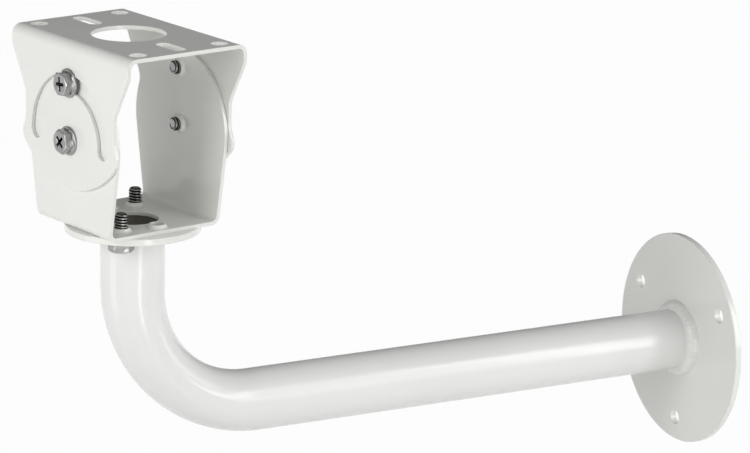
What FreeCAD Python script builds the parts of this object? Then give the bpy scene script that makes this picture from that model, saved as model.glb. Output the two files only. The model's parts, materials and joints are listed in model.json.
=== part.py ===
# Camera wall bracket: a round wall plate, a bent tube with a round flange on
# its end, a folded yoke that turns on the flange, and a folded camera carrier
# that tilts over the yoke on two pivot screws and is held by two lock screws.
# The wall is the plane Y = 0, the arm runs towards -Y and +Z is up.

import FreeCAD, Part
import math
import os

from FreeCAD import Vector

# Wall plate
wall_plate_diameter = 112.0
wall_plate_thickness = 3.4
wall_hole_count = 3
wall_hole_diameter = 8.0
wall_hole_circle = 88.0
wall_hole_first_angle = 30.0
plate_edge_round = 0.4

# Arm tube
tube_diameter = 31.75
tube_wall = 1.8
arm_reach = 324.0  # from the wall to the upright end's axis
head_height = 99.5  # from the arm's axis to the flange's top
bend_radius = 67.0
bend_flattening = 0.075  # share of the tube's depth lost halfway round
bend_spread = 0.02  # share of the tube's width gained there
bend_sections = 13

# Weld beads
wall_weld_leg = 4.5
head_weld_leg = 2.5
weld_bulge = 0.18  # height of the bead's crown as a share of its leg

# Flange on the upright end
flange_diameter = 67.0
flange_thickness = 3.4
bolt_circle_radius = 25.4
bolt_angles = (-47.0, 143.0)  # on the head; the slots' middles on the flange
turn_slot_width = 7.2
turn_slot_half_span = 30.0

# Head at rest
pan_at_rest = 9.0  # the head stands this far round from square to the arm

# Folded sheets
sheet = 2.0
side_gap = 0.15  # between a yoke ear and the carrier's side
yoke_bend_radius = 4.5
carrier_bend_radius = 5.0

# Yoke
yoke_width = 65.0
yoke_floor_depth = 62.0
pivot_height = 44.9  # above the flange's top
pivot_set_back = 4.0  # the pivot stands this far behind the upright's axis
ear_margin = 9.5  # the ear's edge past the lock screws' centres
cable_hole_diameter = 25.4
spare_hole_offset = 21.0

# Tapped collars drawn out of the sheet
collar_lip_radius = 4.2
collar_foot_radius = 5.4
collar_height = 1.9
collar_hollow = 0.25  # how far the collar's side bends in from a straight line
collar_lip_round = 0.3
tap_gap = 0.05  # between a screw's crest and the tapped wall

# Camera carrier
ear_clearance = 8.7  # from the ears' tops to the top plate
carrier_depth = 100.0
shoulder_drop = 9.4  # straight edge below the top face
taper_drop = 30.7  # where the taper meets the waist
slot_margin = 5.2  # sheet left between the lock slot and the waist's edge
waist_end = 4.5  # above the pivot
lobe_step = 2.5  # the lobe's edge past the waist's
lobe_start = -1.0  # the lobe's straight edge begins at this height from the pivot
skirt_radius = 52.5
shoulder_round = 6.0
taper_round = 8.0
waist_round = 6.0
lobe_round = 3.0
skirt_round = 5.0
lock_radius = 28.5
lock_slot_width = 8.6
lock_slot_half_span = 90.0
top_hole_diameter = 8.5
top_hole_end_inset = 7.5
top_hole_side_inset = 10.95
top_slot_width = 7.0
top_slot_length = 20.0
top_slot_end_inset = 14.2  # to the slot's middle
top_opening_diameter = 36.8

# Washer-head screws at the pivot and the lock slot
screw_diameter = 6.35
screw_collar_diameter = 14.3
screw_collar_thickness = 1.2
screw_hex = 10.0
screw_head_height = 5.5
screw_length = 8.5
screw_tip_chamfer = 0.8
pivot_gap = 0.125  # between the pivot screw and the carrier
cross_span = 6.4
cross_floor_span = 3.2
cross_width = 1.5
cross_floor_width = 1.1
cross_depth = 2.6

# Bolts from the flange into the yoke
bolt_hex = 11.1
bolt_head_height = 4.5
bolt_length = 14.4
hex_chamfer = 0.7

# Derived
tube_radius = tube_diameter / 2
bore_radius = tube_radius - tube_wall
flange_bottom = head_height - flange_thickness
pivot_z = head_height + pivot_height
ear_radius = lock_radius + ear_margin
carrier_rise = ear_radius + ear_clearance + sheet  # from the pivot to the top face
carrier_inner_width = yoke_width + 2 * side_gap
carrier_width = carrier_inner_width + 2 * sheet
waist_half = lock_radius + lock_slot_width / 2 + slot_margin
lobe_half = waist_half + lobe_step
reach_past = 5.0  # how far a cutter runs past the face it cuts


def round_hole(centre, direction, diameter, start, end):
    """Cutter along a direction, from start to end measured from the centre."""
    base = centre + direction * start
    return Part.makeCylinder(diameter / 2, end - start, base, direction)


def ring_of_points(radius, count, first_angle):
    points = []
    for index in range(count):
        angle = math.radians(first_angle + index * 360.0 / count)
        points.append((radius * math.cos(angle), radius * math.sin(angle)))
    return points


def polar(radius, degrees, z=0.0):
    angle = math.radians(degrees)
    return Vector(radius * math.cos(angle), radius * math.sin(angle), z)


def arc_slot(radius, width, middle, half_span, z, height):
    """Round-ended slot bent round the Z axis, as a cutter from z upwards."""
    first = middle - half_span
    last = middle + half_span
    outer = radius + width / 2
    inner = radius - width / 2
    last_tip = polar(radius, last, z) + end_reach(last, width)
    first_tip = polar(radius, first, z) - end_reach(first, width)
    edges = [
        Part.Arc(polar(outer, first, z), polar(outer, middle, z), polar(outer, last, z)),
        Part.Arc(polar(outer, last, z), last_tip, polar(inner, last, z)),
        Part.Arc(polar(inner, last, z), polar(inner, middle, z), polar(inner, first, z)),
        Part.Arc(polar(inner, first, z), first_tip, polar(outer, first, z)),
    ]
    wire = Part.Wire([edge.toShape() for edge in edges])
    return Part.Face(wire).extrude(Vector(0, 0, height))


def end_reach(degrees, width):
    """From a slot's end centre to its tip, in the direction of travel."""
    angle = math.radians(degrees)
    return Vector(-math.sin(angle), math.cos(angle), 0) * (width / 2)


def straight_slot(centre, length, width, height):
    """Round-ended slot along X, as a cutter from the centre's level upwards."""
    half = (length - width) / 2
    box = Part.makeBox(2 * half, width, height, centre - Vector(half, width / 2, 0))
    left = Part.makeCylinder(width / 2, height, centre - Vector(half, 0, 0))
    right = Part.makeCylinder(width / 2, height, centre + Vector(half, 0, 0))
    return box.fuse([left, right]).removeSplitter()


def level_edges(shape, z):
    """Edges that lie wholly at one height."""
    found = []
    for edge in shape.Edges:
        box = edge.BoundBox
        if abs(box.ZMin - z) < 1e-4 and abs(box.ZMax - z) < 1e-4:
            found.append(edge)
    return found


def on_head(shape):
    """Turn a shape built square at the origin to the head's place at rest."""
    turned = shape.rotated(Vector(0, 0, 0), Vector(0, 0, 1), pan_at_rest)
    return turned.translated(Vector(0, -arm_reach, 0))


def behind_axis(shape):
    """Move a shape built about the pivot to the pivot's place on the yoke."""
    return shape.translated(Vector(-pivot_set_back, 0, 0))


def make_wall_plate():
    radius = wall_plate_diameter / 2
    plate = Part.makeCylinder(radius, wall_plate_thickness)
    rims = [edge for edge in plate.Edges if isinstance(edge.Curve, Part.Circle)]
    plate = plate.makeFillet(plate_edge_round, rims)
    holes = [Part.makeCylinder(bore_radius, wall_plate_thickness)]
    for x, y in ring_of_points(wall_hole_circle / 2, wall_hole_count, wall_hole_first_angle):
        holes.append(Part.makeCylinder(wall_hole_diameter / 2, wall_plate_thickness, Vector(x, y, 0)))
    plate = plate.cut(holes)
    return plate.rotated(Vector(0, 0, 0), Vector(1, 0, 0), 90)


def bead(inner_radius, leg):
    """Fillet weld round the Z axis: it lies on Z = 0 and climbs a tube."""
    corner = Vector(inner_radius, 0, 0)
    toe = Vector(inner_radius + leg, 0, 0)
    top = Vector(inner_radius, 0, leg)
    crown = (toe + top) * 0.5 + Vector(1, 0, 1).normalize() * (leg * weld_bulge)
    outline = Part.Wire([
        Part.makeLine(corner, toe),
        Part.Arc(toe, crown, top).toShape(),
        Part.makeLine(top, corner),
    ])
    return Part.Face(outline).revolve(Vector(0, 0, 0), Vector(0, 0, 1), 360)


def make_wall_weld():
    weld = bead(tube_radius, wall_weld_leg).rotated(Vector(0, 0, 0), Vector(1, 0, 0), 90)
    return weld.translated(Vector(0, -wall_plate_thickness, 0))


def make_head_weld():
    weld = bead(tube_radius, head_weld_leg).rotated(Vector(0, 0, 0), Vector(1, 0, 0), 180)
    return weld.translated(Vector(0, -arm_reach, flange_bottom))


def bend_section(radius, turn):
    """Tube section in the bend, turn running from 0 at the arm to 90 degrees."""
    angle = math.radians(turn)
    strain = math.sin(2 * angle)
    outward = Vector(0, -math.sin(angle), -math.cos(angle))
    centre = Vector(0, bend_radius - arm_reach, bend_radius) + outward * bend_radius
    across = radius + tube_radius * bend_spread * strain
    deep = radius - tube_radius * bend_flattening * strain
    if across - deep < 1e-6:
        along = Vector(0, -math.cos(angle), math.sin(angle))
        circle = Part.Circle(centre, along, radius)
        circle.XAxis = Vector(1, 0, 0)
        return Part.Wire(circle.toShape())
    ellipse = Part.Ellipse(centre + Vector(across, 0, 0), centre + outward * deep, centre)
    return Part.Wire(ellipse.toShape())


def bent_bar(radius):
    """Solid bar along the arm's path: level, round the bend and up."""
    level = arm_reach - bend_radius - wall_plate_thickness
    upright = flange_bottom - bend_radius
    arm = Part.makeCylinder(radius, level, Vector(0, -wall_plate_thickness, 0), Vector(0, -1, 0))
    post = Part.makeCylinder(radius, upright, Vector(0, -arm_reach, bend_radius))
    sections = []
    for index in range(bend_sections):
        sections.append(bend_section(radius, 90.0 * index / (bend_sections - 1)))
    bend = Part.makeLoft(sections, True, False)
    return arm, bend, post


def make_arm_tube():
    solids = []
    for outside, inside in zip(bent_bar(tube_radius), bent_bar(bore_radius)):
        solids.append(outside.cut(inside))
    return solids[0].fuse(solids[1:]).removeSplitter()


def make_head_flange():
    flange = Part.makeCylinder(flange_diameter / 2, flange_thickness, Vector(0, 0, flange_bottom))
    rims = [edge for edge in flange.Edges if isinstance(edge.Curve, Part.Circle)]
    flange = flange.makeFillet(plate_edge_round, rims)
    below = flange_bottom - reach_past
    through = flange_thickness + 2 * reach_past
    cutters = [Part.makeCylinder(bore_radius, through, Vector(0, 0, below))]
    for middle in bolt_angles:
        slot = arc_slot(bolt_circle_radius, turn_slot_width, middle, turn_slot_half_span, below, through)
        cutters.append(slot)
    return flange.cut(cutters).translated(Vector(0, -arm_reach, 0))


def upright_channel(width, length, height, bend):
    """Folded sheet open upwards, its outer floor face at Z = 0, along X."""
    outer = rounded_block(width, length, 0.0, height, bend)
    inner_length = length + 2 * reach_past
    inner = rounded_block(width - 2 * sheet, inner_length, sheet, height + reach_past, bend - sheet)
    return outer.cut(inner)


def rounded_block(width, length, bottom, top, radius):
    corner = Vector(-length / 2, -width / 2, bottom)
    block = Part.makeBox(length, width, top - bottom, corner)
    folds = []
    for edge in level_edges(block, bottom):
        if abs(edge.BoundBox.XLength - length) < 1e-4:
            folds.append(edge)
    return block.makeFillet(radius, folds)


def side_prism(edges, width):
    """Prism across the head from an outline drawn in the X-Z plane."""
    face = Part.Face(Part.Wire(edges))
    face = face.translated(Vector(0, -width, 0))
    return face.extrude(Vector(0, 2 * width, 0))


def ear_outline():
    """Round ear about the pivot with straight sides that meet the floor's ends."""
    half = yoke_floor_depth / 2
    foot = math.hypot(half, pivot_height)
    foot_angle = math.atan2(-pivot_height, half)
    touch_angle = foot_angle + math.acos(ear_radius / foot)
    touch_x = ear_radius * math.cos(touch_angle)
    touch_z = pivot_z + ear_radius * math.sin(touch_angle)
    left_foot = Vector(-half, 0, head_height)
    right_foot = Vector(half, 0, head_height)
    left_touch = Vector(-touch_x, 0, touch_z)
    right_touch = Vector(touch_x, 0, touch_z)
    crown = Vector(0, 0, pivot_z + ear_radius)
    return [
        Part.makeLine(left_foot, right_foot),
        Part.makeLine(right_foot, right_touch),
        Part.Arc(right_touch, crown, left_touch).toShape(),
        Part.makeLine(left_touch, left_foot),
    ]


def collar():
    """Collar drawn upwards out of a sheet whose upper face is Z = 0."""
    hole = screw_diameter / 2 + tap_gap
    foot = Vector(collar_foot_radius, 0, 0)
    shoulder = Vector(collar_lip_radius, 0, collar_height - collar_lip_round)
    lip = Vector(collar_lip_radius - collar_lip_round, 0, collar_height)
    inwards = Vector(foot.z - shoulder.z, 0, foot.x - shoulder.x).normalize()
    side_mid = (foot + shoulder) * 0.5 + inwards * collar_hollow
    lip_centre = Vector(lip.x, 0, shoulder.z)
    lip_mid = lip_centre + Vector(1, 0, 1).normalize() * collar_lip_round
    outline = Part.Wire([
        Part.makeLine(Vector(hole, 0, 0), foot),
        Part.Arc(foot, side_mid, shoulder).toShape(),
        Part.Arc(shoulder, lip_mid, lip).toShape(),
        Part.makeLine(lip, Vector(hole, 0, collar_height)),
        Part.makeLine(Vector(hole, 0, collar_height), Vector(hole, 0, 0)),
    ])
    return Part.Face(outline).revolve(Vector(0, 0, 0), Vector(0, 0, 1), 360)


def floor_bolt_places():
    return [polar(bolt_circle_radius, angle) for angle in bolt_angles]


def side_places():
    """Pivot and lock places on both sides: name, height and outward sign."""
    return [
        ("pivot_screw_1", pivot_z, -1),
        ("pivot_screw_2", pivot_z, 1),
        ("lock_screw_1", pivot_z + lock_radius, -1),
        ("lock_screw_2", pivot_z + lock_radius, 1),
    ]


def make_yoke():
    channel = upright_channel(yoke_width, 2 * ear_radius + 2 * reach_past, pivot_height + 2 * ear_radius,
                              yoke_bend_radius)
    yoke = channel.translated(Vector(0, 0, head_height)).common(side_prism(ear_outline(), yoke_width))
    yoke = behind_axis(yoke)
    floor_top = head_height + sheet
    tapped = screw_diameter + 2 * tap_gap
    collars = []
    up = Vector(0, 0, 1)
    cutters = [round_hole(up * floor_top, up, cable_hole_diameter, -reach_past, reach_past)]
    spare_places = [polar(spare_hole_offset, 0.0), polar(spare_hole_offset, 180.0)]
    for spot in floor_bolt_places() + spare_places:
        place = spot + Vector(0, 0, floor_top)
        collars.append(collar().translated(place))
        cutters.append(round_hole(place, up, tapped, -reach_past, reach_past))
    for name, height, sign in side_places():
        face = yoke_width / 2 - sheet
        place = Vector(-pivot_set_back, sign * face, height)
        inward = collar().rotated(Vector(0, 0, 0), Vector(1, 0, 0), 90 * sign)
        collars.append(inward.translated(place))
        cutters.append(round_hole(place, Vector(0, sign, 0), tapped, -reach_past, reach_past))
    return on_head(yoke.cut(cutters).fuse(collars).removeSplitter())


def skirt_corner():
    """Height above the pivot where the skirt's arc meets the lobe's edge."""
    return lock_radius - math.sqrt(skirt_radius ** 2 - lobe_half ** 2)


def carrier_outline():
    """Side of the carrier: shoulder, taper, waist, lobe and curved skirt."""
    shoulder = carrier_depth / 2
    right = [
        (lobe_half, skirt_corner()),
        (lobe_half, lobe_start),
        (waist_half, waist_end),
        (waist_half, carrier_rise - taper_drop),
        (shoulder, carrier_rise - shoulder_drop),
        (shoulder, carrier_rise),
    ]
    left = [(-x, z) for x, z in reversed(right)]
    points = [Vector(x, 0, pivot_z + z) for x, z in right + left]
    edges = []
    for start, end in zip(points[:-1], points[1:]):
        edges.append(Part.makeLine(start, end))
    lowest = Vector(0, 0, pivot_z + lock_radius - skirt_radius)
    edges.append(Part.Arc(points[-1], lowest, points[0]).toShape())
    return edges


def rounded_corners(prism):
    """Round the outline's corners, each chosen by its height."""
    rounds = [
        (skirt_corner(), skirt_round),
        (lobe_start, lobe_round),
        (waist_end, waist_round),
        (carrier_rise - taper_drop, taper_round),
        (carrier_rise - shoulder_drop, shoulder_round),
    ]
    for height, radius in rounds:
        prism = prism.makeFillet(radius, level_edges(prism, pivot_z + height))
    return prism


def make_tilt_bracket():
    drop = carrier_rise + skirt_radius
    channel = upright_channel(carrier_width, carrier_depth + 2 * reach_past, drop, carrier_bend_radius)
    channel = channel.rotated(Vector(0, 0, 0), Vector(1, 0, 0), 180)
    channel = channel.translated(Vector(0, 0, pivot_z + carrier_rise))
    side = rounded_corners(side_prism(carrier_outline(), carrier_width))
    carrier = channel.common(side)
    top = pivot_z + carrier_rise - sheet - reach_past
    through = sheet + 2 * reach_past
    cutters = [Part.makeCylinder(top_opening_diameter / 2, through, Vector(0, 0, top))]
    for side in (-1, 1):
        hole_x = side * (carrier_depth / 2 - top_hole_end_inset)
        hole_y = carrier_width / 2 - top_hole_side_inset
        for y in (-hole_y, hole_y):
            cutters.append(Part.makeCylinder(top_hole_diameter / 2, through, Vector(hole_x, y, top)))
        slot_x = side * (carrier_depth / 2 - top_slot_end_inset)
        cutters.append(straight_slot(Vector(slot_x, 0, top), top_slot_length, top_slot_width, through))
    across = Vector(0, 1, 0)
    pivot_hole = screw_diameter + 2 * pivot_gap
    cutters.append(round_hole(Vector(0, 0, pivot_z), across, pivot_hole, -carrier_width, carrier_width))
    through_both = 2 * carrier_width
    slot = arc_slot(lock_radius, lock_slot_width, 90.0, lock_slot_half_span, -carrier_width, through_both)
    slot = slot.rotated(Vector(0, 0, 0), Vector(1, 0, 0), 90)
    cutters.append(slot.translated(Vector(0, 0, pivot_z)))
    return on_head(behind_axis(carrier.cut(cutters)))


def hex_prism(across_flats, height, chamfer):
    """Hexagon from Z = 0 upwards with its upper corners turned off."""
    corner = across_flats / math.sqrt(3)
    points = [polar(corner, 60.0 * index) for index in range(7)]
    prism = Part.Face(Part.makePolygon(points)).extrude(Vector(0, 0, height))
    side = Part.makeCylinder(corner, height - chamfer)
    top = Part.makeCone(corner, corner - chamfer * math.sqrt(3), chamfer, Vector(0, 0, height - chamfer))
    return prism.common(side.fuse(top))


def threaded_shank(length):
    """Shank from Z = 0 downwards with a chamfered tip."""
    radius = screw_diameter / 2
    straight = Part.makeCylinder(radius, length - screw_tip_chamfer, Vector(0, 0, screw_tip_chamfer - length))
    tip = Part.makeCone(radius - screw_tip_chamfer, radius, screw_tip_chamfer, Vector(0, 0, -length))
    return straight.fuse(tip)


def cross_recess(top_z):
    """Cutter for a cross recess: two tapered blades that meet at right angles."""
    blades = []
    for turn in (0, 90):
        wide = recess_outline(cross_span, cross_width, top_z)
        deep = recess_outline(cross_floor_span, cross_floor_width, top_z - cross_depth)
        blade = Part.makeLoft([wide, deep], True, True)
        blades.append(blade.rotated(Vector(0, 0, 0), Vector(0, 0, 1), turn))
    return blades[0].fuse(blades[1])


def recess_outline(span, width, z):
    x = span / 2
    y = width / 2
    corners = [Vector(-x, -y, z), Vector(x, -y, z), Vector(x, y, z), Vector(-x, y, z), Vector(-x, -y, z)]
    return Part.makePolygon(corners)


def washer_head_screw():
    """Hexagon screw with a collar, its head above Z = 0 and its shank below."""
    collar_disc = Part.makeCylinder(screw_collar_diameter / 2, screw_collar_thickness)
    rim = level_edges(collar_disc, screw_collar_thickness)
    collar_disc = collar_disc.makeFillet(screw_collar_thickness / 2, rim)
    head = hex_prism(screw_hex, screw_head_height, hex_chamfer).cut(cross_recess(screw_head_height))
    return collar_disc.fuse([head, threaded_shank(screw_length)]).removeSplitter()


def side_screw(height, sign, spin):
    """Washer-head screw on one side of the carrier, its head outwards."""
    screw = washer_head_screw().rotated(Vector(0, 0, 0), Vector(0, 0, 1), spin)
    screw = screw.rotated(Vector(0, 0, 0), Vector(1, 0, 0), -90 * sign)
    return on_head(behind_axis(screw.translated(Vector(0, sign * carrier_width / 2, height))))


def base_bolt(place):
    """Hexagon bolt from below the flange into a tapped collar."""
    head = hex_prism(bolt_hex, bolt_head_height, hex_chamfer)
    bolt = head.fuse(threaded_shank(bolt_length)).removeSplitter()
    bolt = bolt.rotated(Vector(0, 0, 0), Vector(1, 0, 0), 180)
    return on_head(bolt.translated(place + Vector(0, 0, flange_bottom)))


def make_parts():
    parts = {
        "wall_plate": make_wall_plate(),
        "wall_weld": make_wall_weld(),
        "arm_tube": make_arm_tube(),
        "head_weld": make_head_weld(),
        "head_flange": make_head_flange(),
        "yoke": make_yoke(),
        "tilt_bracket": make_tilt_bracket(),
    }
    for index, place in enumerate(floor_bolt_places(), start=1):
        parts["base_bolt_" + str(index)] = base_bolt(place)
    spins = {"pivot_screw_1": 45.0, "pivot_screw_2": 20.0, "lock_screw_1": 5.0, "lock_screw_2": 70.0}
    for name, height, sign in side_places():
        parts[name] = side_screw(height, sign, spins[name])
    return parts


os.makedirs("parts", exist_ok=True)
for name, shape in make_parts().items():
    shape.exportStep("parts/" + name + ".step")
    print(name, shape.ShapeType, len(shape.Solids), shape.isValid(), round(shape.Volume, 1))
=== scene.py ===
import bmesh
import bpy
import json
import math
from mathutils import Matrix, Vector

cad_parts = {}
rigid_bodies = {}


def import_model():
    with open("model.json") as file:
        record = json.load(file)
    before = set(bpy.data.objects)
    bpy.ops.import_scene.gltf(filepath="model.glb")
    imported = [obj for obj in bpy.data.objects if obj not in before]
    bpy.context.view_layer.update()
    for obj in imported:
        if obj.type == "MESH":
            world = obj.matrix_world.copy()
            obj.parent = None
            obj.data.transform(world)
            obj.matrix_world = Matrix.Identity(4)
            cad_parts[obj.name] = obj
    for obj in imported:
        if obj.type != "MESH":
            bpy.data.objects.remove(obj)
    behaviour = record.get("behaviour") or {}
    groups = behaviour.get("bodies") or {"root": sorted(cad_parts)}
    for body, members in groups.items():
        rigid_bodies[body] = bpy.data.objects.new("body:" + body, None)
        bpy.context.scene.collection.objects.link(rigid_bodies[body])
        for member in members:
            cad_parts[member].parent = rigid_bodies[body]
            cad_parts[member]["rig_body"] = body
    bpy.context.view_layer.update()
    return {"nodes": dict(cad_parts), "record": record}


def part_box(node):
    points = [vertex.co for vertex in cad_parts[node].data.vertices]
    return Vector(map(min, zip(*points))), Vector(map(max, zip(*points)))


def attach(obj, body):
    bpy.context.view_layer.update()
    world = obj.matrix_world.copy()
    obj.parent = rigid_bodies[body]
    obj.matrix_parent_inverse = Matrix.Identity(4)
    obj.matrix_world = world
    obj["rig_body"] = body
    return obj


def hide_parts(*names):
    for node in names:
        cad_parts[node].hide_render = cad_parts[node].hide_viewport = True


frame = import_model()
nodes = frame["nodes"]
record = frame["record"]
mm = 0.001
print("frame loaded:", len(nodes), "nodes")


def linear(hexColour):
    values = []
    for i in (0, 2, 4):
        c = int(hexColour[i:i + 2], 16) / 255
        values.append(c / 12.92 if c <= 0.04045 else ((c + 0.055) / 1.055) ** 2.4)
    return (*values, 1.0)


def addNode(tree, kind, settings=None, inputs=None, links=None):
    node = tree.nodes.new(kind)
    for key, value in (settings or {}).items():
        setattr(node, key, value)
    for key, value in (inputs or {}).items():
        node.inputs[key].default_value = value
    for key, source in (links or {}).items():
        tree.links.new(source, node.inputs[key])
    return node


def newMaterial(name):
    material = bpy.data.materials.new(name)
    material.use_nodes = True
    tree = material.node_tree
    tree.nodes.clear()
    output = addNode(tree, "ShaderNodeOutputMaterial")
    place = addNode(tree, "ShaderNodeTexCoord").outputs["Object"]
    return material, tree, output, place


def mottledColour(tree, place, finish):
    # the finish's two tones drift into each other over its cloud width
    cloud = addNode(
        tree, "ShaderNodeTexNoise",
        inputs={"Scale": 1000 / finish["cloudWidth"], "Detail": finish["cloudDetail"]},
        links={"Vector": place},
    )
    tone = addNode(
        tree, "ShaderNodeMix", {"data_type": "RGBA"},
        inputs={"A": linear(finish["colour"]), "B": linear(finish["shade"])},
        links={"Factor": cloud.outputs["Fac"]},
    )
    return tone.outputs["Result"], cloud.outputs["Fac"]


# Off-white polyester powder coat, sprayed and baked on steel: glossy, with a
# faint orange peel and a slightly uneven film.
powderCoat = {
    "colour": "E9EAE6",
    "shade": "E3E4DF",
    "roughness": 0.17,
    "ior": 1.5,
    "peelWidth": 2.4,  # mm from crest to crest
    "peelDepth": 0.010,  # mm
    "waveWidth": 16.0,  # mm, slow waves where the film ran
    "waveDepth": 0.16,  # mm
    "cloudWidth": 40.0,  # mm, drift of the film's tone
    "cloudDetail": 2.0,
}

# The same coat on the tube, where the photograph shows it a touch less warm.
tubeCoat = {
    **powderCoat,
    "colour": "E9E9E8",
    "shade": "E4E4E2",
}


def makePowderCoat(name, coat):
    material, tree, output, place = newMaterial(name)
    tone, cloud = mottledColour(tree, place, coat)
    peel = addNode(
        tree, "ShaderNodeTexNoise",
        inputs={"Scale": 1000 / coat["peelWidth"], "Detail": 1.0, "Roughness": 0.4},
        links={"Vector": place},
    )
    waves = addNode(
        tree, "ShaderNodeTexNoise",
        inputs={"Scale": 1000 / coat["waveWidth"], "Detail": 1.0},
        links={"Vector": place},
    )
    run = addNode(
        tree, "ShaderNodeBump",
        inputs={"Strength": 1.0, "Distance": coat["waveDepth"] * mm},
        links={"Height": waves.outputs["Fac"]},
    )
    bump = addNode(
        tree, "ShaderNodeBump",
        inputs={"Strength": 1.0, "Distance": coat["peelDepth"] * mm},
        links={"Height": peel.outputs["Fac"], "Normal": run.outputs["Normal"]},
    )
    shader = addNode(
        tree, "ShaderNodeBsdfPrincipled",
        inputs={"Roughness": coat["roughness"], "IOR": coat["ior"]},
        links={"Base Color": tone, "Normal": bump.outputs["Normal"]},
    )
    tree.links.new(shader.outputs["BSDF"], output.inputs["Surface"])
    return material


# Bright zinc plate on cold-headed steel: a grey metal with fine forming marks.
zincPlate = {
    "colour": "B8B9B7",
    "shade": "828382",
    "roughness": (0.22, 0.38),
    "markWidth": 0.5,  # mm
    "markDepth": 0.01,  # mm
    "cloudWidth": 3.0,  # mm
    "cloudDetail": 3.0,
}


def makeZincPlate():
    material, tree, output, place = newMaterial("zincPlatedSteel")
    tone, cloud = mottledColour(tree, place, zincPlate)
    low, high = zincPlate["roughness"]
    rough = addNode(
        tree, "ShaderNodeMapRange",
        inputs={"To Min": low, "To Max": high},
        links={"Value": cloud},
    )
    marks = addNode(
        tree, "ShaderNodeTexNoise",
        inputs={"Scale": 1000 / zincPlate["markWidth"], "Detail": 2.0},
        links={"Vector": place},
    )
    bump = addNode(
        tree, "ShaderNodeBump",
        inputs={"Strength": 1.0, "Distance": zincPlate["markDepth"] * mm},
        links={"Height": marks.outputs["Fac"]},
    )
    shader = addNode(
        tree, "ShaderNodeBsdfPrincipled",
        inputs={"Metallic": 1.0},
        links={"Base Color": tone, "Roughness": rough.outputs["Result"], "Normal": bump.outputs["Normal"]},
    )
    tree.links.new(shader.outputs["BSDF"], output.inputs["Surface"])
    return material


# Painted shade: thread roots and punched recesses are coloured dark, standing in for the shade that falls
# in them.
hollowShade = {
    "colour": "3A3A38",
    "shade": "20201F",
    "roughness": 0.5,
    "cloudWidth": 1.2,  # mm
    "cloudDetail": 2.0,
}


def makeHollowShade():
    material, tree, output, place = newMaterial("paintedShadeSteel")
    tone, cloud = mottledColour(tree, place, hollowShade)
    shader = addNode(
        tree, "ShaderNodeBsdfPrincipled",
        inputs={"Metallic": 1.0, "Roughness": hollowShade["roughness"]},
        links={"Base Color": tone},
    )
    tree.links.new(shader.outputs["BSDF"], output.inputs["Surface"])
    return material


# Sprayed powder does not reach far into the tube: its bore stays scaly steel,
# dull and only faintly metallic.
bareBore = {
    "colour": "A09B92",
    "shade": "78736A",
    "metallic": 0.2,
    "roughness": 0.65,
    "cloudWidth": 6.0,  # mm
    "cloudDetail": 3.0,
}


def makeBareSteel():
    material, tree, output, place = newMaterial("bareSteel")
    tone, cloud = mottledColour(tree, place, bareBore)
    shader = addNode(
        tree, "ShaderNodeBsdfPrincipled",
        inputs={"Metallic": bareBore["metallic"], "Roughness": bareBore["roughness"]},
        links={"Base Color": tone},
    )
    tree.links.new(shader.outputs["BSDF"], output.inputs["Surface"])
    return material


powderCoatedSteel = makePowderCoat("powderCoatedSteel", powderCoat)
powderCoatedTube = makePowderCoat("powderCoatedTube", tubeCoat)
paintedShadeSteel = makeHollowShade()
bareSteel = makeBareSteel()
zincPlatedSteel = makeZincPlate()
print("materials made")


# How the solids' meshes are read before they are dressed.
solidMesh = {
    "joinWithin": 0.002,  # mm, corners this close are one
    "crease": 50,  # degrees, faces that turn by more meet at a true edge
}


def editSolid(nodeName):
    bm = bmesh.new()
    bm.from_mesh(nodes[nodeName].data)
    bmesh.ops.remove_doubles(bm, verts=bm.verts, dist=solidMesh["joinWithin"] * mm)
    return bm


def keepMesh(bm, name):
    mesh = bpy.data.meshes.new(name)
    bm.to_mesh(mesh)
    bm.free()
    return mesh


def finishPiece(name, mesh, node, material, smoothAngle=35):
    mesh.shade_smooth()
    mesh.set_sharp_from_angle(angle=math.radians(smoothAngle))
    obj = bpy.data.objects.new(name, mesh)
    bpy.context.scene.collection.objects.link(obj)
    obj.data.materials.append(material)
    weighted = obj.modifiers.new("evenFaces", "WEIGHTED_NORMAL")
    weighted.keep_sharp = True
    weighted.mode = "FACE_AREA"
    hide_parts(node)
    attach(obj, nodes[node]["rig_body"])
    return obj


# Every sheet and plate edge is a little round under its coat.
sheetEdges = {
    "radius": {"wall_plate": 0.35, "head_flange": 0.35, "yoke": 0.32, "tilt_bracket": 0.32},  # mm
    "segments": 3,
    "flatWithin": 0.3,  # degrees, faces that turn by less are joined before the rounding
    "boreSlack": 0.1,  # mm past the bore's radius that still counts as its wall
}


def bareTheBore(bm):
    # the wall of the hole on the flange's axis has as little coat as the tube's bore
    low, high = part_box("head_flange")
    centre = (low + high) / 2
    reach = {face: max((v.co - centre).xy.length for v in face.verts) for face in bm.faces}
    boreRadius = min(reach.values())
    for face in bm.faces:
        face.material_index = 1 if reach[face] < boreRadius + sheetEdges["boreSlack"] * mm else 0


def roundEdges(nodeName, radius):
    bm = editSolid(nodeName)
    flat = math.radians(sheetEdges["flatWithin"])
    bmesh.ops.dissolve_limit(bm, angle_limit=flat, verts=bm.verts, edges=bm.edges)
    crease = math.radians(solidMesh["crease"])
    sharp = [e for e in bm.edges if len(e.link_faces) == 2 and e.calc_face_angle(0) > crease]
    bmesh.ops.bevel(
        bm, geom=sharp, offset=radius * mm, segments=sheetEdges["segments"],
        profile=0.5, affect="EDGES", clamp_overlap=True,
    )
    bmesh.ops.triangulate(bm, faces=[f for f in bm.faces if len(f.verts) > 4])
    if nodeName == "head_flange":
        bareTheBore(bm)
    mesh = keepMesh(bm, nodeName + "Sheet")
    return finishPiece(nodeName + "Coated", mesh, nodeName, powderCoatedSteel)


def makeSheets():
    for nodeName, radius in sheetEdges["radius"].items():
        obj = roundEdges(nodeName, radius)
        if nodeName == "head_flange":
            obj.data.materials.append(bareSteel)


makeSheets()
print("sheets and plates done")


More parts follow.
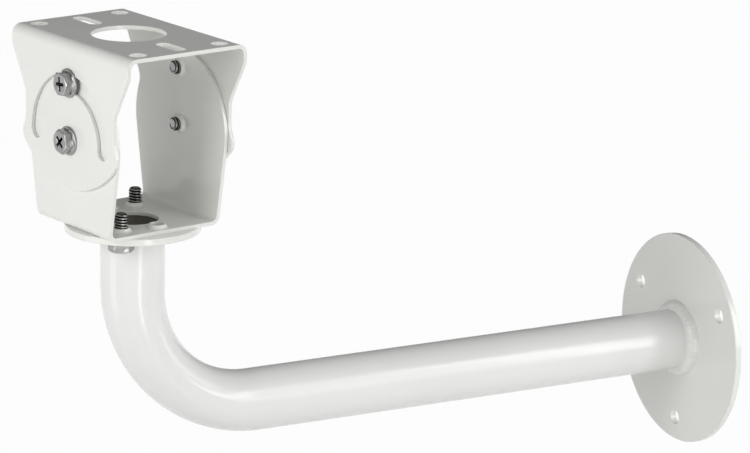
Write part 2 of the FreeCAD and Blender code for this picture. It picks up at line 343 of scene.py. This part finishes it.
# Fillet welds laid by hand: each bead is a row of overlapping ripples.
weldBead = {
    "ripplePitch": 3.2,  # mm along the bead
    "rippleDepth": 0.20,  # mm
    "rippleMiddle": 0.6,  # the share of a ripple's rise that counts as level
    "rippleBow": 1.2,  # how far a ripple's middle runs ahead of its ends
    "unevenPitch": 0.8,  # how much the ripples' spacing varies
    "wander": 0.5,  # mm, how far the toe strays
    "wanderWaves": ((3, 0.5, 1.0), (7, 0.3, 2.1), (13, 0.2, 3.7)),  # waves a turn, share, drift by seed
    "strayLift": 0.3,  # share of the stray that also lifts the face
    "tubeSideCalm": 0.4,  # share by which the toe on the tube strays less
    "crown": 0.27,  # the bead's bulge as a share of its leg
    "lumps": 0.18,  # mm, where the hand paused
    "lumpWaves": (5, 11),  # waves a turn, which together place the lumps
    "rootDepth": 0.05,  # mm that the bead reaches into the tube's surface
    "seatGap": 0.02,  # mm off the plate
    "steps": 288,
    "profileSteps": 12,
    "smoothAngle": 80,  # degrees
    "seed": {"wall_weld": 1.3, "head_weld": 4.1},  # another seed lays another bead
}


def around(place, angle, radius, height):
    # a point round the Z axis of place, from sizes in mm
    return place @ Vector((radius * math.cos(angle) * mm, radius * math.sin(angle) * mm, height * mm))


def wave(angle, seed):
    waves = weldBead["wanderWaves"]
    return sum(share * math.sin(turns * angle + drift * seed) for turns, share, drift in waves)


def beadLift(angle, s, leg, seed, ripples, stray):
    # mm that the bead's face stands out from a straight fillet
    phase = ripples * angle + weldBead["unevenPitch"] * wave(angle, seed + 5)
    crest = abs(math.sin(0.5 * phase + weldBead["rippleBow"] * (s - 0.5) ** 2))
    slow, quick = weldBead["lumpWaves"]
    lump = math.sin(slow * angle + 3 * seed + 2 * s) * math.sin(quick * angle + seed)
    height = weldBead["crown"] * leg
    height += weldBead["rippleDepth"] * (crest - weldBead["rippleMiddle"])
    height += weldBead["lumps"] * lump
    height += weldBead["strayLift"] * stray
    return math.sin(math.pi * s) * height


def beadMesh(name, tubeRadius, leg, place, seed):
    steps, rows = weldBead["steps"], weldBead["profileSteps"]
    ripples = round(2 * math.pi * (tubeRadius + leg / 2) / weldBead["ripplePitch"])
    inner, base = tubeRadius - weldBead["rootDepth"], weldBead["seatGap"]
    bm = bmesh.new()
    rings = []
    for i in range(steps):
        angle = 2 * math.pi * i / steps
        stray = weldBead["wander"] * wave(angle, seed)
        ring = []
        for j in range(rows + 1):
            s = j / rows  # 0 at the toe on the plate, 1 at the toe on the tube
            out = beadLift(angle, s, leg, seed, ripples, stray) * math.sqrt(0.5)
            size = leg + stray * (1 - weldBead["tubeSideCalm"] * s)
            point = around(place, angle, inner + size * (1 - s) + out, max(size * s + out, base))
            ring.append(bm.verts.new(point))
        ring.append(bm.verts.new(around(place, angle, inner, base)))
        rings.append(ring)
    for i in range(steps):
        here, after = rings[i], rings[(i + 1) % steps]
        for j in range(len(here)):
            k = (j + 1) % len(here)
            bm.faces.new((here[j], after[j], after[k], here[k]))
    bmesh.ops.recalc_face_normals(bm, faces=bm.faces)
    return keepMesh(bm, name)


def makeWeld(nodeName, turn, seat, leg):
    # the bead's flat side lies on the seat, its other side climbs the tube
    low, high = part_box(nodeName)
    tubeRadius = (high.x - low.x) / 2 - leg
    place = Matrix.Translation(seat) @ turn
    seed = weldBead["seed"][nodeName]
    mesh = beadMesh(nodeName + "Bead", tubeRadius / mm, leg / mm, place, seed)
    finishPiece(
        nodeName + "Bead", mesh, nodeName, powderCoatedSteel, weldBead["smoothAngle"],
    )


def makeWelds():
    low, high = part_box("wall_weld")
    outFromWall = Matrix.Rotation(math.radians(90), 4, "X")
    makeWeld("wall_weld", outFromWall, Vector((0, high.y, 0)), high.y - low.y)
    low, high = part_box("head_weld")
    downwards = Matrix.Rotation(math.radians(180), 4, "X")
    underFlange = Vector((0, (low.y + high.y) / 2, high.z))
    makeWeld("head_weld", downwards, underFlange, high.z - low.z)


makeWelds()
print("weld beads done")


# Coarse rolled threads on the plain shanks of the solids.
thread = {
    "pitch": 1.41,  # mm
    "depth": 0.72,  # mm
    "profile": ((0.0, 0.0), (0.36, 0.0), (0.56, 1.0), (0.80, 1.0)),  # shares of the pitch and the depth
    "shadeFrom": 1,  # the profile's first step painted with shade
    "tipChamfer": 0.8,  # mm
    "stepsPerTurn": 32,
    "joinWithin": 0.004,  # mm, corners this close are one
}

# The heads come from the solids. The cross and the hexagon are drawn a little
# larger, as the photograph shows them.
screwHead = {
    "seatGap": 0.02,  # mm, so that a head only just clears the coat it sits on
    "crossGrowth": 1.12,
    "crossReach": 3.4,  # mm, only the cross has corners this close to the axis
    "crossFloor": 0.5,  # mm above the seat, the cross ends higher than this
    "hexGrowth": 1.10,
    "hexReach": 6.2,  # mm, the hexagon's corners are closer to the axis, the washer's aren't
    "washerTop": 1.3,  # mm above the seat, the hexagon's corners are higher
    "washerHead": 5,  # mm, only the heads with a washer are taller
    "shadeReach": 4.0,  # mm from the axis, as far as a recess is painted with shade
    "topSkin": 0.2,  # mm below the head's top that stays bright
    "smoothAngle": 28,  # degrees
}

# How a shank is told from its head.
shank = {
    "readOver": 2,  # mm from the tip, where its radius is read
    "headFrom": 1.2,  # what is wider than the shank by this factor belongs to the head
    "sideSlack": 0.1,  # mm
    "seatSlack": 0.05,  # mm
    "drawnBelow": 0.01,  # mm above the seat, where the drawn thread ends
}


def alongAndAcross(point, origin, axis):
    # the height along the axis, and the offset square to it
    offset = point - origin
    height = offset.dot(axis)
    return height, offset - axis * height


def shankOf(nodeName, axis):
    # axis points from the tip to the head; the seat is the plane under the head
    low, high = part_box(nodeName)
    centre = (low + high) / 2
    spots = [alongAndAcross(v.co, centre, axis) for v in nodes[nodeName].data.vertices]
    tip = min(height for height, across in spots)
    radius = max(across.length for height, across in spots if height < tip + shank["readOver"] * mm)
    seat = min(height for height, across in spots if across.length > radius * shank["headFrom"])
    return centre + axis * seat, radius / mm, (seat - tip) / mm


def threadRows(outer, length):
    # a ribbon wound from above the seat to past the tip and pressed flat at both
    pitch, steps = thread["pitch"], thread["stepsPerTurn"]
    turns = length / pitch + 2
    rows = []
    for k in range(int(turns * steps) + 1):
        angle = 2 * math.pi * k / steps
        for share, cut in thread["profile"]:
            z = pitch - (k / steps + share) * pitch
            limit = outer - max(0.0, -z - (length - thread["tipChamfer"]))
            rows.append((angle, min(outer - cut * thread["depth"], limit), max(-length, min(0.0, z))))
    return rows


def cutOffShank(bm, origin, axis, outer):
    gone = []
    for face in bm.faces:
        spots = [alongAndAcross(v.co, origin, axis) for v in face.verts]
        narrow = max(across.length for height, across in spots) < (outer + shank["sideSlack"]) * mm
        below = min(height for height, across in spots) < -shank["seatSlack"] * mm
        if narrow and below:
            gone.append(face)
    bmesh.ops.delete(bm, geom=gone, context="FACES")


def growCrossAndHexagon(bm, origin, axis, top):
    for vert in bm.verts:
        height, across = alongAndAcross(vert.co, origin, axis)
        reach = across.length / mm
        if reach < screwHead["crossReach"] and height > screwHead["crossFloor"] * mm:
            vert.co += across * (screwHead["crossGrowth"] - 1)
        elif reach < screwHead["hexReach"] and height > screwHead["washerTop"] * mm:
            if top > screwHead["washerHead"] * mm:
                vert.co += across * (screwHead["hexGrowth"] - 1)


def paintShadeInRecess(bm, origin, axis, top):
    # painted shade: the faces of the cross recess, near the axis and below the head's top, take the dark
    # second material
    low, high = screwHead["crossFloor"] * mm, top - screwHead["topSkin"] * mm
    for face in bm.faces:
        height, across = alongAndAcross(face.calc_center_median(), origin, axis)
        if across.length < screwHead["shadeReach"] * mm and low < height < high:
            face.material_index = 1


def drawThread(bm, toWorld, outer, length):
    verts = [bm.verts.new(around(toWorld, *row)) for row in threadRows(outer, length)]
    width, steps = len(thread["profile"]), thread["stepsPerTurn"]
    columns = len(verts) // width
    for k in range(columns - 1 - steps):
        for j in range(width):
            here, after = k * width + j, (k + 1) * width + j
            if j + 1 < width:
                ends = (verts[after + 1], verts[here + 1])
            else:
                ends = (verts[(k + 1 + steps) * width], verts[(k + steps) * width])
            face = bm.faces.new((verts[here], verts[after], *ends))
            # flanks and roots take the dark second material, as painted shade
            face.material_index = 1 if j >= thread["shadeFrom"] else 0
    tip = []
    for k in range(steps):
        angle = 2 * math.pi * k / steps
        tip.append(bm.verts.new(around(toWorld, angle, outer - thread["tipChamfer"], -length)))
    bm.faces.new(tip)


def screwMesh(nodeName, axis):
    # the head comes from the solid, the shank is drawn anew
    origin, outer, length = shankOf(nodeName, axis)
    bm = editSolid(nodeName)
    for face in bm.faces:
        face.material_index = 0
    cutOffShank(bm, origin, axis, outer)
    top = max((v.co - origin).dot(axis) for v in bm.verts)
    growCrossAndHexagon(bm, origin, axis, top)
    paintShadeInRecess(bm, origin, axis, top)
    toWorld = axis.to_track_quat("Z", "Y").to_matrix().to_4x4()
    toWorld.translation = origin
    drawThread(bm, toWorld, outer, length)
    drawn = [v for v in bm.verts if (v.co - origin).dot(axis) < shank["drawnBelow"] * mm]
    bmesh.ops.remove_doubles(bm, verts=drawn, dist=thread["joinWithin"] * mm)
    bmesh.ops.dissolve_degenerate(bm, dist=thread["joinWithin"] * mm, edges=bm.edges)
    loose = [v for v in bm.verts if not v.link_faces]
    bmesh.ops.delete(bm, geom=loose, context="VERTS")
    bmesh.ops.recalc_face_normals(bm, faces=bm.faces)
    bmesh.ops.translate(bm, verts=bm.verts, vec=axis * screwHead["seatGap"] * mm)
    return keepMesh(bm, nodeName + "Threaded")


def makeScrews():
    tilt = next(j for j in record["behaviour"]["joints"] if j["name"] == "tilt")
    across = Vector(tilt["axis"])
    down = Vector((0, 0, -1))
    headwards = {
        "pivot_screw_1": -across,
        "pivot_screw_2": across,
        "lock_screw_1": -across,
        "lock_screw_2": across,
        "base_bolt_1": down,
        "base_bolt_2": down,
    }
    for nodeName, axis in headwards.items():
        mesh = screwMesh(nodeName, axis)
        obj = finishPiece(
            nodeName + "Threaded", mesh, nodeName, zincPlatedSteel, screwHead["smoothAngle"],
        )
        # the second slot is the painted shade of the thread grooves and the recess
        obj.data.materials.append(paintedShadeSteel)


makeScrews()
print("screws and bolts done")


# The tube is coated outside and bare inside.
armTube = {
    "boreInset": 1.0,  # mm, a surface that is this much narrower than the tube is its bore
}


def smoothIslands(bm):
    # groups of faces that meet without a true edge
    left = set(bm.faces)
    while left:
        island, queue = [], [left.pop()]
        while queue:
            face = queue.pop()
            island.append(face)
            for edge in face.edges:
                if edge.calc_face_angle(math.pi) < math.radians(solidMesh["crease"]):
                    for other in edge.link_faces:
                        if other in left:
                            left.remove(other)
                            queue.append(other)
        yield island


def makeTube():
    bm = editSolid("arm_tube")
    low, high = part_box("arm_tube")
    for island in smoothIslands(bm):
        halfWidth = max(abs(v.co.x) for face in island for v in face.verts)
        for face in island:
            face.material_index = 1 if halfWidth < high.x - armTube["boreInset"] * mm else 0
    mesh = keepMesh(bm, "armTubeCoated")
    obj = finishPiece("armTubeCoated", mesh, "arm_tube", powderCoatedTube)
    obj.data.materials.append(bareSteel)


makeTube()
print("tube done")


studio = {
    "floorHeight": -0.42,
    "floorReach": 30.0,
    "floorColour": "F4F4F2",
    "seenShare": 0.97,  # how much of the floor's pure white is seen directly
    "bandStrength": 0.64,  # the pale walls round the horizon
    "topStrength": 0.28,  # the dark ceiling
    "bandEnds": (0.20, 0.70),  # sine of the height where the walls fade out
    "curtainTowards": 241.0,  # degrees, a grey curtain hangs behind the object
    "curtainEnds": (0.55, 0.85),  # cosine of the angle from its middle
    "curtainStrength": 0.135,
    "lamps": [
        # name, place, aimed at, size, watts
        ("keyLeft", (0.18, -1.02, 0.30), (0.0, -0.32, 0.12), (0.4, 0.5), 2.8),
        ("stripLow", (-0.10, -1.0, -0.13), (0.0, -0.32, 0.05), (0.28, 0.34), 0.36),
        ("stripRight", (1.05, -0.30, -0.06), (0.0, -0.25, 0.0), (0.20, 0.6), 1.8),
        ("stripBend", (0.60, 0.74, 0.20), (0.0, -0.29, 0.04), (0.26, 0.7), 1.3),
        ("fillRight", (1.10, 0.40, 0.56), (0.0, -0.15, 0.0), (0.5, 1.0), 3.2),
        ("fillWall", (0.98, 0.60, 0.42), (0.0, -0.08, 0.0), (0.16, 0.9), 2.2),
    ],
}


def makeFloor():
    bm = bmesh.new()
    bmesh.ops.create_grid(bm, x_segments=1, y_segments=1, size=studio["floorReach"])
    mesh = keepMesh(bm, "floorSheet")
    floor = bpy.data.objects.new("floorSheet", mesh)
    floor.location.z = studio["floorHeight"]
    bpy.context.scene.collection.objects.link(floor)
    material, tree, output = newMaterial("paperWhite")[:3]
    matt = addNode(tree, "ShaderNodeBsdfDiffuse", inputs={"Color": linear(studio["floorColour"])})
    glow = addNode(tree, "ShaderNodeEmission", inputs={"Color": (1, 1, 1, 1), "Strength": 1.0})
    path = addNode(tree, "ShaderNodeLightPath")
    direct = addNode(
        tree, "ShaderNodeMath", {"operation": "MAXIMUM"},
        links={0: path.outputs["Is Camera Ray"], 1: path.outputs["Is Glossy Ray"]},
    )
    shown = addNode(
        tree, "ShaderNodeMath", {"operation": "MAXIMUM"},
        links={0: direct.outputs[0], 1: path.outputs["Is Transmission Ray"]},
    )
    seen = addNode(
        tree, "ShaderNodeMath", {"operation": "MULTIPLY"},
        inputs={1: studio["seenShare"]},
        links={0: shown.outputs[0]},
    )
    mix = addNode(
        tree, "ShaderNodeMixShader",
        links={0: seen.outputs[0], 1: matt.outputs["BSDF"], 2: glow.outputs["Emission"]},
    )
    tree.links.new(mix.outputs["Shader"], output.inputs["Surface"])
    mesh.materials.append(material)


def makeWorld():
    world = bpy.data.worlds.new("studio")
    bpy.context.scene.world = world
    world.use_nodes = True
    tree = world.node_tree
    tree.nodes.clear()
    output = addNode(tree, "ShaderNodeOutputWorld")
    direction = addNode(tree, "ShaderNodeTexCoord").outputs["Generated"]
    height = addNode(tree, "ShaderNodeSeparateXYZ", links={"Vector": direction}).outputs["Z"]
    low, high = studio["bandEnds"]
    fade = addNode(
        tree, "ShaderNodeMapRange", {"interpolation_type": "SMOOTHSTEP"},
        inputs={
            "From Min": low,
            "From Max": high,
            "To Min": studio["bandStrength"],
            "To Max": studio["topStrength"],
        },
        links={"Value": height},
    )
    towards = math.radians(studio["curtainTowards"])
    side = addNode(
        tree, "ShaderNodeVectorMath", {"operation": "DOT_PRODUCT"},
        inputs={1: (math.sin(towards), -math.cos(towards), 0.0)},
        links={0: direction},
    )
    near, full = studio["curtainEnds"]
    curtain = addNode(
        tree, "ShaderNodeMapRange", {"interpolation_type": "SMOOTHSTEP"},
        inputs={"From Min": near, "From Max": full, "To Min": 0.0, "To Max": 1.0},
        links={"Value": side.outputs["Value"]},
    )
    strength = addNode(
        tree, "ShaderNodeMix", {"data_type": "FLOAT"},
        inputs={"B": studio["curtainStrength"]},
        links={"Factor": curtain.outputs["Result"], "A": fade.outputs["Result"]},
    )
    room = addNode(
        tree, "ShaderNodeBackground",
        inputs={"Color": (1, 1, 1, 1)},
        links={"Strength": strength.outputs["Result"]},
    )
    tree.links.new(room.outputs["Background"], output.inputs["Surface"])


def makeLamps():
    for name, place, target, size, watts in studio["lamps"]:
        lamp = bpy.data.lights.new(name, "AREA")
        lamp.shape = "RECTANGLE"
        lamp.size, lamp.size_y = size
        lamp.energy = watts
        obj = bpy.data.objects.new(name, lamp)
        obj.location = place
        obj.rotation_euler = (Vector(target) - Vector(place)).to_track_quat("-Z", "Y").to_euler()
        obj.visible_camera = False
        bpy.context.scene.collection.objects.link(obj)


# The photograph's camera, as found from measured edges of the bracket.
camera = {
    "azimuth": 61.065,
    "elevation": 14.939,
    "roll": 1.058,
    "distance": 2.11284,
    "focal": 4100.0,  # in pixels of the photograph
    "frame": (750, 453),
    "target": (0.0, -0.150, 0.0),
    "targetPixel": (437.833, 372.119),
    "sensorWidth": 36.0,
    "clipEnd": 100.0,
}


def makeCamera():
    a, e, r = (math.radians(camera[k]) for k in ("azimuth", "elevation", "roll"))
    right = Vector((math.cos(a), math.sin(a), 0))
    back = Vector((math.sin(a) * math.cos(e), -math.cos(a) * math.cos(e), math.sin(e)))
    up = back.cross(right)
    turnedRight = right * math.cos(r) + up * math.sin(r)
    turnedUp = up * math.cos(r) - right * math.sin(r)
    width, height = camera["frame"]
    x = (camera["targetPixel"][0] - width / 2) / camera["focal"]
    y = -(camera["targetPixel"][1] - height / 2) / camera["focal"]
    data = bpy.data.cameras.new("camera")
    data.sensor_width = camera["sensorWidth"]
    data.lens = camera["focal"] * camera["sensorWidth"] / width
    data.clip_end = camera["clipEnd"]
    obj = bpy.data.objects.new("camera", data)
    place = Matrix((turnedRight, turnedUp, back)).transposed().to_4x4()
    toTarget = x * turnedRight + y * turnedUp - back
    place.translation = Vector(camera["target"]) - camera["distance"] * toTarget
    obj.matrix_world = place
    bpy.context.scene.collection.objects.link(obj)
    bpy.context.scene.camera = obj


makeFloor()
makeWorld()
makeLamps()
makeCamera()
bpy.context.scene.view_settings.view_transform = "Standard"
print("studio and camera set")
